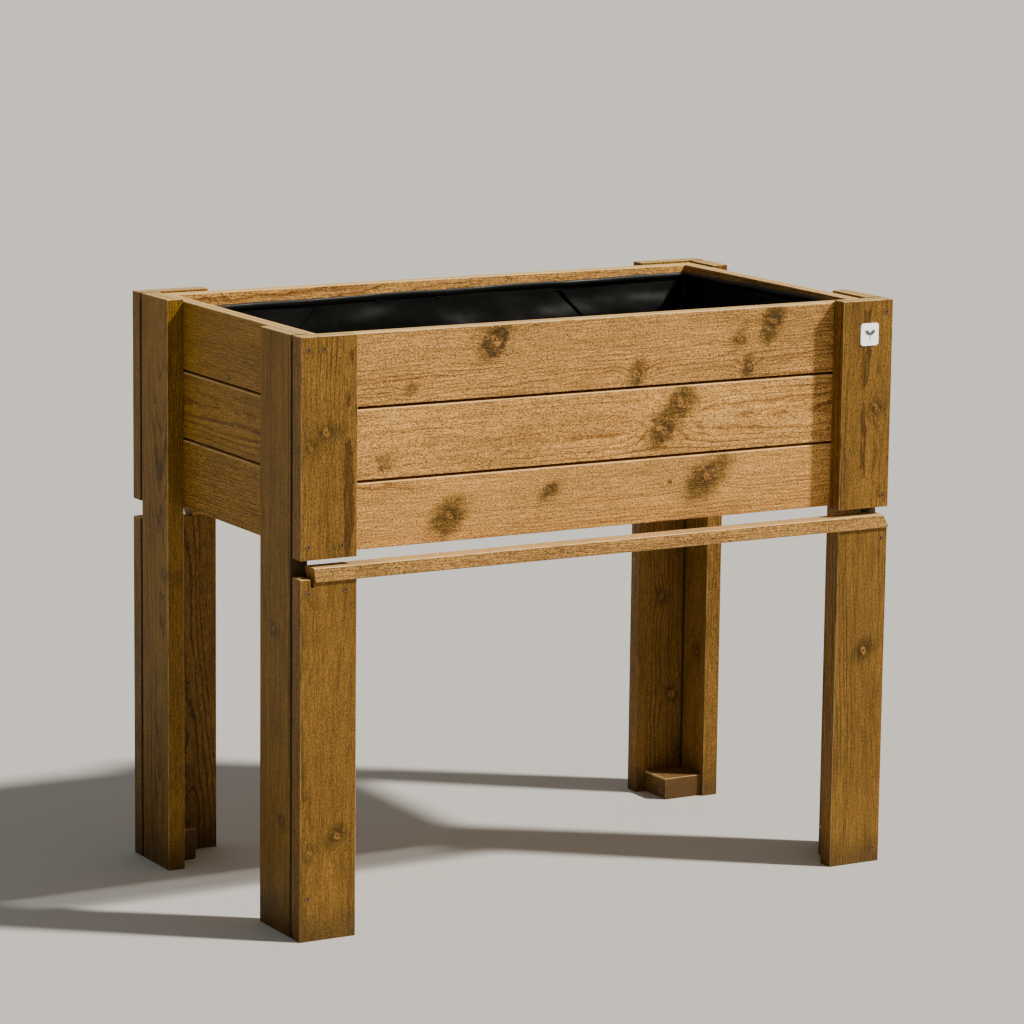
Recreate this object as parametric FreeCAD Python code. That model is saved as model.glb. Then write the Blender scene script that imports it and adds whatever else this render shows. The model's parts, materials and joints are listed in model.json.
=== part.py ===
import FreeCAD, Part
import math
import os

from FreeCAD import Placement, Rotation, Vector

# Raised wooden planter on four board legs, in millimetres.
# Origin: on the ground under the middle of the planter. +X runs to the right along the long
# front, +Y to the back, +Z up. Each leg is an L of two boards: an end board across the short
# side, and a front or back board that is split by a notch for the rail under the box.

# Driving dimensions
LENGTH = 915.0              # over the end boards
DEPTH = 518.0               # over the front and back leg boards
HEIGHT = 800.0              # ground to the top of the legs

LEG_THICKNESS = 25.0
LEG_BOARD_WIDTHS = {        # end board, upper board and lower board of each leg
    "front_left": (94.0, 82.0, 82.0),
    "front_right": (90.0, 82.0, 82.0),
    "back_left": (88.0, 104.0, 116.0),
    "back_right": (66.0, 107.0, 102.0),
}
WIDEST_BOARD = 120.0        # no leg board is wider than this
LEG_EASE = 1.5              # rounding of the long edges of the leg boards
END_CHAMFER = 0.6           # sanded edge round the sawn ends
SEAM = 4.5                  # open joint between an end board and the board across its edge

PLANK_THICKNESS = 20.0
PLANK_GAP = 4.0
PLANK_EASE = 1.6
BOX_TOP = 797.0
BOX_BOTTOM = 512.0
LONG_PLANK_HEIGHTS = {"bottom": 87.5, "middle": 93.0, "top": 96.5}
END_PLANK_HEIGHTS = {"bottom": 93.5, "middle": 90.0, "top": 93.5}

UPPER_BOARD_BOTTOM = 509.0
RAIL_HEIGHT = 19.0
RAIL_BOTTOM = 480.0
RAIL_PROUD = 4.0            # how far the rail stands out of the leg boards
RAIL_DEPTH = 27.0
RAIL_EASE = 1.5
FRONT_RAIL_ENDS = (-437.0, LENGTH / 2)
FRONT_RAIL_SLANTS = (3.0, 11.0)
BACK_RAIL_ENDS = (-377.0, 437.0)
BACK_RAIL_SLANTS = (3.0, 3.0)
EAR_WIDTH = 15.0            # stop left on the lower board beside the rail
EAR_HEIGHT = 4.0
EAR_ROUND = 2.5
KERF_WIDTH = 4.0            # overcut at the foot of the stop
KERF_DEPTH = 8.0

FOOT_BLOCKS = {             # width, depth and height of the block at the foot of each leg
    "front_left": (36.0, 36.0, 44.0),
    "front_right": (36.0, 36.0, 44.0),
    "back_left": (36.0, 48.0, 44.0),
    "back_right": (62.0, 60.0, 32.0),
}
BLOCK_EASE = 4.0
KNEE_BLOCK = (50.0, 22.0, 32.0)
KNEE_BLOCK_BOTTOM = 447.0

CLEAT_SIZE = 25.0
SLAT_THICKNESS = 15.0
SLAT_COUNT = 8
SLAT_GAP = 6.0
SLAT_END_CLEARANCE = 2.0

LINER_THICKNESS = 2.0
LINER_TOP = 785.0
STAPLE_CROWN = 10.0
STAPLE_WIRE = (1.2, 0.7)
STAPLE_LEG = 7.0
STAPLE_DROP = 13.0          # below the top edge of the liner
STAPLE_CORNER_SPACE = 25.0  # from a corner of the box to the nearest staple
STAPLES_LONG_SIDE = 9
STAPLES_SHORT_SIDE = 5

SCREW_HEAD_RADIUS = 4.0
SCREW_HEAD_HEIGHT = 3.0
SCREW_RIM = 0.5
SCREW_SHANK_RADIUS = 2.0
SCREW_TIP = 6.0
SCREW_PROUD = 0.5
RECESS = (4.6, 1.1, 1.6)    # cross slot: length, width, depth
LONG_SCREW = 50.0
MEDIUM_SCREW = 42.0
SHORT_SCREW = 38.0
SLAT_SCREW = 34.0
BLOCK_SCREW_BITE = 18.0     # how far a block's screw reaches into the end board
BLOCK_SCREW_INSET = 14.0    # from the open side of the block
BLOCK_SCREW_DROP = 5.0      # below the middle of the block

# Screws through the front and back leg boards
TOP_SCREW_DROP = 17.0       # below the top of the upper board
BOTTOM_SCREW_RISE = 17.0    # above the bottom of the upper board
RAIL_SCREW_DROP = 15.0      # below the rail, in the lower board
OUTER_SCREW_INSET = 11.0    # from the outer face of the leg
UPPER_INNER_INSETS = (33.5, 59.5)       # of the second screw, at the top and at the bottom
LOWER_INNER_INSET = 65.5
LOWER_INNER_DROP = 13.0
FOOT_SCREW_HEIGHTS = {"front_left": 58.0, "front_right": 20.0, "back_left": 20.0, "back_right": 20.0}

# Screws driven from inside the box
LONG_PLANK_SCREW_HEIGHTS = (545.0, 580.0, 630.0, 670.0, 722.0, 762.0)
END_PLANK_SCREW_HEIGHTS = (570.0, 592.0, 635.0, 675.0, 725.0, 765.0)
LONG_PLANK_SCREW_INSET = 20.0           # from the corner of the box
END_PLANK_SCREW_INSET = 30.0
FRONT_RAIL_SCREWS = (-418.0, 418.0)
BACK_RAIL_SCREWS = (-368.0, 408.0)
CLEAT_SCREWS = (-307.0, -102.0, 102.0, 307.0)

LABEL_SIZE = (28.5, 31.0)
LABEL_THICKNESS = 1.5
LABEL_CORNER = 4.5
LABEL_HEIGHT = 753.0        # height of its middle
LABEL_INSET = 39.0          # from the outer face of the leg to its middle
EMBLEM_THICKNESS = 0.4
STEM_HALF_WIDTH = 0.6
STEM_FOOT = -8.0
STEM_TOP = 1.0
LEAF_ROOT = (0.0, -1.0)     # across and up, from the middle of the label
LEAF_TOP = (2.5, 5.0)
LEAF_TIP = (8.0, 6.0)
LEAF_UNDER = (5.5, 0.2)

# Derived places
HALF_LENGTH = LENGTH / 2
HALF_DEPTH = DEPTH / 2
LEG_INNER_X = HALF_LENGTH - LEG_THICKNESS
LEG_INNER_Y = HALF_DEPTH - LEG_THICKNESS
BOX_INNER_X = LEG_INNER_X - PLANK_THICKNESS
BOX_INNER_Y = LEG_INNER_Y - PLANK_THICKNESS
RAIL_TOP = RAIL_BOTTOM + RAIL_HEIGHT
LOWER_BOARD_TOP = RAIL_BOTTOM + EAR_HEIGHT
SLAT_BOTTOM = BOX_BOTTOM + CLEAT_SIZE
FLOOR_TOP = SLAT_BOTTOM + SLAT_THICKNESS
OUTER_SCREW_X = HALF_LENGTH - OUTER_SCREW_INSET

CORNERS = {
    "front_left": (-1, -1),
    "front_right": (1, -1),
    "back_left": (-1, 1),
    "back_right": (1, 1),
}
# Legs whose boards are also screwed to a knee block, with screws near the inner edge
KNEE_BLOCK_LEGS = ("front_left", "back_right")
GRAIN = {"x": Vector(1, 0, 0), "y": Vector(0, 1, 0), "z": Vector(0, 0, 1)}


def block(xs, ys, zs):
    """A plain box between two values on each axis, given in either order."""
    low = Vector(min(xs), min(ys), min(zs))
    size = [abs(pair[1] - pair[0]) for pair in (xs, ys, zs)]
    return Part.makeBox(size[0], size[1], size[2], low)


def along(edge, direction):
    """Whether a straight edge runs along a direction."""
    start = edge.Vertexes[0].Point
    end = edge.Vertexes[-1].Point
    run = end.sub(start)
    return run.Length > 1e-6 and abs(run.dot(direction)) > 0.999 * run.Length


def ease(shape, grain, radius, chamfer=END_CHAMFER):
    """Round the long edges of a board and take the sharpness off its sawn ends."""
    direction = GRAIN[grain]
    shape = shape.makeFillet(radius, [edge for edge in shape.Edges if along(edge, direction)])
    ends = [face for face in shape.Faces if abs(face.normalAt(0, 0).dot(direction)) > 0.95]
    return shape.makeChamfer(chamfer, [edge for face in ends for edge in face.Edges])


def board(xs, ys, zs, grain, radius):
    return ease(block(xs, ys, zs), grain, radius)


def leg_boards(name, sign_x, sign_y):
    """End board, upper board and lower board of one leg."""
    end_width, upper_width, lower_width = LEG_BOARD_WIDTHS[name]
    outer_x = sign_x * HALF_LENGTH
    outer_y = sign_y * HALF_DEPTH
    face_y = sign_y * (LEG_INNER_Y - SEAM)
    end_board = board(
        (outer_x, sign_x * LEG_INNER_X),
        (face_y, sign_y * (LEG_INNER_Y - end_width)),
        (0, HEIGHT), "z", LEG_EASE)
    upper_x = (outer_x, sign_x * (HALF_LENGTH - upper_width))
    lower_x = (outer_x, sign_x * (HALF_LENGTH - lower_width))
    board_y = (outer_y, sign_y * LEG_INNER_Y)
    upper = board(upper_x, board_y, (UPPER_BOARD_BOTTOM, HEIGHT), "z", LEG_EASE)
    lower = board(lower_x, board_y, (0, LOWER_BOARD_TOP), "z", LEG_EASE)
    lower = house_rail(lower, sign_x, sign_y)
    return {
        f"leg_{name}_end_board": end_board,
        f"leg_{name}_upper_board": upper,
        f"leg_{name}_lower_board": lower,
    }


def house_rail(lower, sign_x, sign_y):
    """Cut the housing that the rail lies in, with a rounded stop beside it where it has one."""
    ys = (sign_y * (HALF_DEPTH + 1), sign_y * (LEG_INNER_Y - 1))
    top = (RAIL_BOTTOM, LOWER_BOARD_TOP + 1)
    full_width = (sign_x * (HALF_LENGTH + 1), sign_x * (HALF_LENGTH - WIDEST_BOARD - 1))
    if sign_x > 0 and sign_y < 0:
        return lower.cut(block(full_width, ys, top))
    stop_x = HALF_LENGTH - EAR_WIDTH
    housing = block((sign_x * stop_x, full_width[1]), ys, top)
    kerf_x = (sign_x * stop_x, sign_x * (stop_x - KERF_WIDTH))
    kerf = block(kerf_x, ys, (RAIL_BOTTOM - KERF_DEPTH, top[1]))
    lower = lower.cut(housing.fuse(kerf))
    corner = [
        edge for edge in lower.Edges
        if along(edge, GRAIN["y"])
        and abs(edge.BoundBox.XMin - sign_x * stop_x) < 0.01
        and edge.BoundBox.ZMin > RAIL_BOTTOM + 1
    ]
    return lower.makeFillet(EAR_ROUND, corner)


def walls():
    """Three planks on each side of the box; the end planks stand between the long ones."""
    shapes = {}
    for side, sign in (("front", -1), ("back", 1)):
        ys = (sign * LEG_INNER_Y, sign * BOX_INNER_Y)
        shapes.update(stack(side, LONG_PLANK_HEIGHTS, (-LEG_INNER_X, LEG_INNER_X), ys, "x"))
    for side, sign in (("left", -1), ("right", 1)):
        xs = (sign * LEG_INNER_X, sign * BOX_INNER_X)
        shapes.update(stack(side, END_PLANK_HEIGHTS, xs, (-BOX_INNER_Y, BOX_INNER_Y), "y"))
    return shapes


def stack(side, heights, xs, ys, grain):
    shapes = {}
    bottom = BOX_BOTTOM
    for level in ("bottom", "middle", "top"):
        top = bottom + heights[level]
        shapes[f"{side}_plank_{level}"] = board(xs, ys, (bottom, top), grain, PLANK_EASE)
        bottom = top + PLANK_GAP
    return shapes


def rail(ends, slants, sign_y):
    """Batten under the box; both ends are cut at a slant, with the bottom edge the longer."""
    left, right = ends
    top_left = left - slants[0]
    top_right = right - slants[1]
    outer_y = sign_y * (HALF_DEPTH + RAIL_PROUD)
    points = [
        Vector(left, outer_y, RAIL_BOTTOM),
        Vector(right, outer_y, RAIL_BOTTOM),
        Vector(top_right, outer_y, RAIL_TOP),
        Vector(top_left, outer_y, RAIL_TOP),
    ]
    profile = Part.Face(Part.makePolygon(points + points[:1]))
    batten = profile.extrude(Vector(0, -sign_y * RAIL_DEPTH, 0))
    long_edges = [edge for edge in batten.Edges if along(edge, GRAIN["x"])]
    return batten.makeFillet(RAIL_EASE, long_edges)


def inner_block(size, sign_x, sign_y, bottom, radius):
    """Block that fills the inner corner of a leg; its grain runs from front to back."""
    xs = (sign_x * LEG_INNER_X, sign_x * (LEG_INNER_X - size[0]))
    ys = (sign_y * LEG_INNER_Y, sign_y * (LEG_INNER_Y - size[1]))
    return board(xs, ys, (bottom, bottom + size[2]), "y", radius)


def leg_blocks():
    shapes = {}
    for name, (sign_x, sign_y) in CORNERS.items():
        foot = inner_block(FOOT_BLOCKS[name], sign_x, sign_y, 0, BLOCK_EASE)
        shapes[f"leg_{name}_foot_block"] = foot
        if name in KNEE_BLOCK_LEGS:
            knee = inner_block(KNEE_BLOCK, sign_x, sign_y, KNEE_BLOCK_BOTTOM, LEG_EASE)
            shapes[f"leg_{name}_knee_block"] = knee
    return shapes


def floor():
    """Two cleats along the bottom planks and the slats that lie across them."""
    shapes = {}
    for side, sign in (("front", -1), ("back", 1)):
        ys = (sign * BOX_INNER_Y, sign * (BOX_INNER_Y - CLEAT_SIZE))
        shapes[f"{side}_floor_cleat"] = board(
            (-BOX_INNER_X, BOX_INNER_X), ys, (BOX_BOTTOM, SLAT_BOTTOM), "x", LEG_EASE)
    reach = BOX_INNER_Y - SLAT_END_CLEARANCE
    for number, middle in enumerate(slat_middles(), start=1):
        xs = (middle - slat_width() / 2, middle + slat_width() / 2)
        shapes[f"floor_slat_{number}"] = board(
            xs, (-reach, reach), (SLAT_BOTTOM, FLOOR_TOP), "y", PLANK_EASE)
    return shapes


def slat_width():
    return (2 * BOX_INNER_X - (SLAT_COUNT + 1) * SLAT_GAP) / SLAT_COUNT


def slat_middles():
    pitch = slat_width() + SLAT_GAP
    first = -BOX_INNER_X + SLAT_GAP + slat_width() / 2
    return [first + number * pitch for number in range(SLAT_COUNT)]


def screw(head, outward, length, proud=0.0):
    """A countersunk screw and the plain form of the hole it fills.

    head is the middle of the head on the wood's face, and outward points out of the wood.
    """
    outline = [
        Vector(0, 0, proud),
        Vector(SCREW_HEAD_RADIUS, 0, proud),
        Vector(SCREW_HEAD_RADIUS, 0, -SCREW_RIM),
        Vector(SCREW_SHANK_RADIUS, 0, -SCREW_HEAD_HEIGHT),
        Vector(SCREW_SHANK_RADIUS, 0, SCREW_TIP - length),
        Vector(0, 0, -length),
    ]
    face = Part.Face(Part.makePolygon(outline + outline[:1]))
    plain = face.revolve(Vector(0, 0, 0), Vector(0, 0, 1), 360)
    slot_length, slot_width, slot_depth = RECESS
    cross = block((-slot_length / 2, slot_length / 2), (-slot_width / 2, slot_width / 2),
                  (proud - slot_depth, proud + 1))
    cross = cross.fuse(block((-slot_width / 2, slot_width / 2), (-slot_length / 2, slot_length / 2),
                             (proud - slot_depth, proud + 1)))
    spin = Rotation(Vector(0, 0, 1), (head.x * 7 + head.z * 3) % 90)    # each is turned its own way
    cross.Placement = Placement(Vector(0, 0, 0), spin)
    made = plain.cut(cross)
    place = Placement(head, Rotation(Vector(0, 0, 1), outward))
    plain.Placement = place
    made.Placement = place.multiply(made.Placement)
    return made, plain


def leg_screws():
    """Screws driven through the front and back leg boards, seen from outside."""
    upper = []
    lower = []
    for name, (sign_x, sign_y) in CORNERS.items():
        outward = Vector(0, sign_y, 0)
        face_y = sign_y * HALF_DEPTH
        outer_x = sign_x * OUTER_SCREW_X
        upper_heights = (HEIGHT - TOP_SCREW_DROP, UPPER_BOARD_BOTTOM + BOTTOM_SCREW_RISE)
        for height in upper_heights:
            upper.append(screw(Vector(outer_x, face_y, height), outward, LONG_SCREW, SCREW_PROUD))
        for height in (RAIL_BOTTOM - RAIL_SCREW_DROP, FOOT_SCREW_HEIGHTS[name]):
            lower.append(screw(Vector(outer_x, face_y, height), outward, LONG_SCREW, SCREW_PROUD))
        if name in KNEE_BLOCK_LEGS:
            for inset, height in zip(UPPER_INNER_INSETS, upper_heights):
                head = Vector(sign_x * (HALF_LENGTH - inset), face_y, height)
                upper.append(screw(head, outward, MEDIUM_SCREW, SCREW_PROUD))
            inner_x = sign_x * (HALF_LENGTH - LOWER_INNER_INSET)
            head = Vector(inner_x, face_y, RAIL_BOTTOM - LOWER_INNER_DROP)
            lower.append(screw(head, outward, MEDIUM_SCREW, SCREW_PROUD))
    return upper, lower


def plank_screws():
    """Screws driven from inside the box, two through each plank into each leg board."""
    long_side = []
    short_side = []
    for sign_x, sign_y in CORNERS.values():
        x = sign_x * (BOX_INNER_X - LONG_PLANK_SCREW_INSET)
        for height in LONG_PLANK_SCREW_HEIGHTS:
            head = Vector(x, sign_y * BOX_INNER_Y, height)
            long_side.append(screw(head, Vector(0, -sign_y, 0), SHORT_SCREW))
        y = sign_y * (BOX_INNER_Y - END_PLANK_SCREW_INSET)
        for height in END_PLANK_SCREW_HEIGHTS:
            head = Vector(sign_x * BOX_INNER_X, y, height)
            short_side.append(screw(head, Vector(-sign_x, 0, 0), SHORT_SCREW))
    return long_side, short_side


def block_screws():
    """One screw through each inner block into the end board beside it."""
    screws = []
    for name, (sign_x, sign_y) in CORNERS.items():
        blocks = [(FOOT_BLOCKS[name], 0)]
        if name in KNEE_BLOCK_LEGS:
            blocks.append((KNEE_BLOCK, KNEE_BLOCK_BOTTOM))
        for (width, depth, height), bottom in blocks:
            head_y = sign_y * (LEG_INNER_Y - max(depth - BLOCK_SCREW_INSET, depth / 2))
            head_z = bottom + height / 2 - BLOCK_SCREW_DROP
            head = Vector(sign_x * (LEG_INNER_X - width), head_y, head_z)
            screws.append(screw(head, Vector(-sign_x, 0, 0), width + BLOCK_SCREW_BITE))
    return screws


def rail_screws():
    """Screws down through the rails into the tops of the lower leg boards."""
    screws = []
    middle_y = HALF_DEPTH - LEG_THICKNESS / 2
    for sign_y, places in ((-1, FRONT_RAIL_SCREWS), (1, BACK_RAIL_SCREWS)):
        for x in places:
            head = Vector(x, sign_y * middle_y, RAIL_TOP)
            screws.append(screw(head, Vector(0, 0, 1), LONG_SCREW))
    return screws


def floor_screws():
    cleat = []
    slat = []
    for sign in (-1, 1):
        for x in CLEAT_SCREWS:
            head = Vector(x, sign * (BOX_INNER_Y - CLEAT_SIZE), BOX_BOTTOM + CLEAT_SIZE / 2)
            cleat.append(screw(head, Vector(0, -sign, 0), SHORT_SCREW))
        for x in slat_middles():
            head = Vector(x, sign * (BOX_INNER_Y - CLEAT_SIZE / 2), FLOOR_TOP)
            slat.append(screw(head, Vector(0, 0, 1), SLAT_SCREW))
    return cleat, slat


def liner():
    """Open-topped sheet lining that lies against the planks and the floor."""
    outer = block((-BOX_INNER_X, BOX_INNER_X), (-BOX_INNER_Y, BOX_INNER_Y), (FLOOR_TOP, LINER_TOP))
    inner_x = BOX_INNER_X - LINER_THICKNESS
    inner_y = BOX_INNER_Y - LINER_THICKNESS
    inside = block((-inner_x, inner_x), (-inner_y, inner_y),
                   (FLOOR_TOP + LINER_THICKNESS, LINER_TOP + 1))
    return outer.cut(inside)


def staple(face, tangent, outward):
    """Wire staple: face is the middle of its crown on the liner."""
    width, thickness = STAPLE_WIRE
    half = STAPLE_CROWN / 2
    crown = block((-half, half), (0, thickness), (-width / 2, width / 2))
    legs = [
        block((side * half, side * (half - width)), (-STAPLE_LEG, 0), (-width / 2, width / 2))
        for side in (-1, 1)
    ]
    shape = crown.fuse(legs[0]).fuse(legs[1]).removeSplitter()
    turn = Rotation(tangent, outward, Vector(0, 0, 1), "XYZ")
    shape.Placement = Placement(face, turn)
    return shape


def staples():
    height = LINER_TOP - STAPLE_DROP
    made = []
    for sign in (-1, 1):
        face_y = sign * (BOX_INNER_Y - LINER_THICKNESS)
        for x in spread(BOX_INNER_X - STAPLE_CORNER_SPACE, STAPLES_LONG_SIDE):
            made.append(staple(Vector(x, face_y, height), Vector(sign, 0, 0), Vector(0, -sign, 0)))
        face_x = sign * (BOX_INNER_X - LINER_THICKNESS)
        for y in spread(BOX_INNER_Y - STAPLE_CORNER_SPACE, STAPLES_SHORT_SIDE):
            made.append(staple(Vector(face_x, y, height), Vector(0, -sign, 0), Vector(-sign, 0, 0)))
    return made


def spread(reach, count):
    """Evenly spaced values from -reach to reach."""
    return [-reach + 2 * reach * number / (count - 1) for number in range(count)]


def label():
    """Small rounded plate on the front right leg, with a raised sprout on it."""
    width, height = LABEL_SIZE
    middle = Vector(HALF_LENGTH - LABEL_INSET, -HALF_DEPTH, LABEL_HEIGHT)
    plate = block((-width / 2, width / 2), (-LABEL_THICKNESS, 0), (-height / 2, height / 2))
    corners = [edge for edge in plate.Edges if along(edge, GRAIN["y"])]
    plate = plate.makeFillet(LABEL_CORNER, corners)
    emblem = block(
        (-STEM_HALF_WIDTH, STEM_HALF_WIDTH),
        (-LABEL_THICKNESS - EMBLEM_THICKNESS, -LABEL_THICKNESS), (STEM_FOOT, STEM_TOP))
    for side in (-1, 1):
        emblem = emblem.fuse(leaf(side))
    emblem = emblem.removeSplitter()
    for shape in (plate, emblem):
        shape.translate(middle)
    return plate, emblem


def leaf(side):
    """Leaf of two arcs that grows from the top of the stem to one side."""
    root, top, tip, below = (
        Vector(side * across, -LABEL_THICKNESS, up)
        for across, up in (LEAF_ROOT, LEAF_TOP, LEAF_TIP, LEAF_UNDER))
    upper = Part.Arc(root, top, tip).toShape()
    under = Part.Arc(tip, below, root).toShape()
    face = Part.Face(Part.Wire([upper, under]))
    return face.extrude(Vector(0, -EMBLEM_THICKNESS, 0))


def bore(shape, fillers):
    """Cut the holes that fasteners fill, for those that reach into this shape."""
    for filler in fillers:
        if shape.BoundBox.intersect(filler.BoundBox) and shape.common(filler).Volume > 0.01:
            shape = shape.cut(filler)
    return shape


def build():
    wood = {}
    for name, (sign_x, sign_y) in CORNERS.items():
        wood.update(leg_boards(name, sign_x, sign_y))
    wood.update(leg_blocks())
    wood.update(walls())
    wood.update(floor())
    wood["front_rail"] = rail(FRONT_RAIL_ENDS, FRONT_RAIL_SLANTS, -1)
    wood["back_rail"] = rail(BACK_RAIL_ENDS, BACK_RAIL_SLANTS, 1)

    upper, lower = leg_screws()
    long_side, short_side = plank_screws()
    cleat, slat = floor_screws()
    screws = {
        "upper_leg_board_screws": upper,
        "lower_leg_board_screws": lower,
        "long_plank_screws": long_side,
        "end_plank_screws": short_side,
        "leg_block_screws": block_screws(),
        "rail_screws": rail_screws(),
        "floor_cleat_screws": cleat,
        "floor_slat_screws": slat,
    }
    staple_shapes = staples()
    fillers = [plain for group in screws.values() for _, plain in group] + staple_shapes

    nodes = {name: bore(shape, fillers) for name, shape in wood.items()}
    for name, group in screws.items():
        nodes[name] = Part.makeCompound([made for made, _ in group])
    nodes["liner"] = bore(liner(), staple_shapes)
    nodes["liner_staples"] = Part.makeCompound(staple_shapes)
    nodes["label_plate"], nodes["label_emblem"] = label()
    return nodes


def main():
    os.makedirs("parts", exist_ok=True)
    nodes = build()
    for name, shape in nodes.items():
        shape.exportStep(f"parts/{name}.step")
    print(len(nodes), "nodes")
    box = Part.makeCompound(list(nodes.values())).BoundBox
    print("X", box.XMin, box.XMax, "Y", box.YMin, box.YMax, "Z", box.ZMin, box.ZMax)
    print("invalid:", [name for name, shape in nodes.items() if not shape.isValid()])
    print("solids:", {name: len(shape.Solids) for name, shape in nodes.items() if len(shape.Solids) != 1})


main()
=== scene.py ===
import json
import math
import random

import bpy
from mathutils import Matrix, Vector


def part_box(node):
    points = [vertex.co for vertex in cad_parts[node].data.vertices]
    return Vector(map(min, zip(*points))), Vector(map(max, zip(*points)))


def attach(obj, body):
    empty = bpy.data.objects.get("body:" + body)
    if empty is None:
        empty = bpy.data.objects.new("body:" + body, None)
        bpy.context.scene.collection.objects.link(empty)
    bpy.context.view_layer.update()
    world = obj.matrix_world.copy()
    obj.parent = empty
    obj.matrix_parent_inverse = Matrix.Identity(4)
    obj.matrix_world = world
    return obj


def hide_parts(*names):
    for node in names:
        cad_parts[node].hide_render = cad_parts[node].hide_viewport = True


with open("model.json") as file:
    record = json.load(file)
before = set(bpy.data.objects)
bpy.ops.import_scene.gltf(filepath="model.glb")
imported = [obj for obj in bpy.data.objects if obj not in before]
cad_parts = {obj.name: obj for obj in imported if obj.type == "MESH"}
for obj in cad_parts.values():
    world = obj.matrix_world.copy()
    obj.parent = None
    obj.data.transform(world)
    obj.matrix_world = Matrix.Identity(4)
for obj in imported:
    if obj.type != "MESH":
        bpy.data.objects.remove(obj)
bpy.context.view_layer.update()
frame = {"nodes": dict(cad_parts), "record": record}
NODES = frame["nodes"]

# ---------------------------------------------------------------- colours (linear) and boards
# Stain between the year rings and on them
STAIN = {
    "plank_wood": {"early": (0.560, 0.285, 0.074), "late": (0.230, 0.096, 0.018)},
    # Darker copies of the plank and leg stains for the left end's boards: painted shade
    "end_plank": {"early": (0.275, 0.138, 0.014), "late": (0.125, 0.054, 0.005)},
    "leg_wood": {"early": (0.208, 0.104, 0.0165), "late": (0.085, 0.039, 0.005)},
    "painted_shade_leg": {"early": (0.215, 0.108, 0.0090), "late": (0.088, 0.041, 0.003)},
    "rail_wood": {"early": (0.420, 0.220, 0.060), "late": (0.180, 0.080, 0.017)},
    "block_wood": {"early": (0.200, 0.100, 0.028), "late": (0.110, 0.052, 0.014)},
    "inner_wood": {"early": (0.560, 0.380, 0.190), "late": (0.400, 0.240, 0.100)},
}
KNOT_COLOUR = (0.045, 0.021, 0.006)
KNOT_GOLD = (0.400, 0.180, 0.036)
CLOUD_COLOUR = (0.112, 0.059, 0.007)
# Bare wood of worn arrises and tops, also used for their painted highlight and sheen
BARE_WOOD_AND_HIGHLIGHT = (1.000, 0.680, 0.290)
# Colour of a damp foot, also used for the painted shade in the joints of the legs
DAMP_AND_SHADE_COLOUR = (0.045, 0.028, 0.010)
RUST_COLOUR = (0.140, 0.065, 0.025)

# How far the upper face of a kind of board is lightened towards bare wood: partly stain rubbed off, partly
# painted sheen of the light that falls on top
RUBBED_TOP_AND_SHEEN = {"plank_wood": 1.0, "leg_wood": 0.9, "rail_wood": 0.55, "block_wood": 0.10, "inner_wood": 0.2}

# How fuzzy a kind of board is and how clear its grain lines are, where that isn't PLAIN_SURFACE
PLAIN_SURFACE = (1.0, 1.0)
SURFACE = {"leg_wood": (0.62, 1.45), "rail_wood": (0.90, 1.10), "block_wood": (0.60, 1.20)}

# How much lighter or darker than its neighbours a board is made; others vary by SHADE_RANGE
SHADE_RANGE = (0.95, 1.05)
BOARD_TONE_AND_PAINTED_LIGHT = {
    # front planks: their own tones; back_plank_top: lighter, as painted light on its inner face
    "front_plank_top": 0.93, "front_plank_middle": 1.07, "back_plank_top": 1.12,
    # right planks: darker, a guess between the front planks' stain and the left end's painted shade
    "right_plank_top": 0.78, "right_plank_middle": 0.84, "right_plank_bottom": 0.80,
}

# Knots that have a fixed place: (along the grain, across it, core radius, cloud length,
# cloud turn in degrees, darkness), all from the middle of the board's face and in millimetres.
KNOTS = {
    "left_plank_top": [(6, -40, 1.6, 9, 75, 0.55)],
    "left_plank_middle": [],
    "left_plank_bottom": [(-70, 30, 2.0, 10, 40, 0.30)],
    "front_plank_top": [
        (-158, 24, 15, 34, 40, 1.0), (-284, -30, 5, 16, 30, 0.45), (60, -32, 7, 26, 60, 0.75),
        (276, 28, 9, 38, 62, 0.9), (222, 6, 6, 26, 40, 0.6), (238, -32, 7, 20, 70, 0.85),
    ],
    "front_plank_middle": [
        (102, -12, 13, 34, 42, 0.75), (130, 24, 9, 48, 42, 0.75), (-324, -27, 9, 20, 50, 0.5),
        (86, 2, 2, 5, 0, 1.0),
    ],
    "front_plank_bottom": [
        (-226, -10, 8, 44, 42, 0.85), (-73, 12, 5, 26, 40, 0.65), (175, 14, 11, 52, 40, 0.85),
        (115, 10, 2, 4, 0, 1.0),
    ],
    "leg_front_left_upper_board": [(20, -4, 8, 30, 80, 0.7), (1, -28, 6, 26, 60, 0.5)],
    "leg_front_right_upper_board": [(-4, 16, 7, 22, 60, 0.8)],
    "leg_front_right_lower_board": [(68, 6, 8, 28, 60, 0.9)],
    "leg_front_left_lower_board": [(-104, 12, 8, 26, 60, 0.8), (-122, -26, 6, 20, 40, 0.6)],
    "leg_front_left_end_board": [(6, 4, 5, 20, 60, 0.8), (-248, -20, 5, 20, 60, 0.8)],
    "leg_back_left_end_board": [(18, -30, 5, 20, 60, 0.8)],
    "front_rail": [(-372, 0, 6, 30, 0, 0.9), (110, 0, 3, 10, 0, 0.6)],
}


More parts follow.
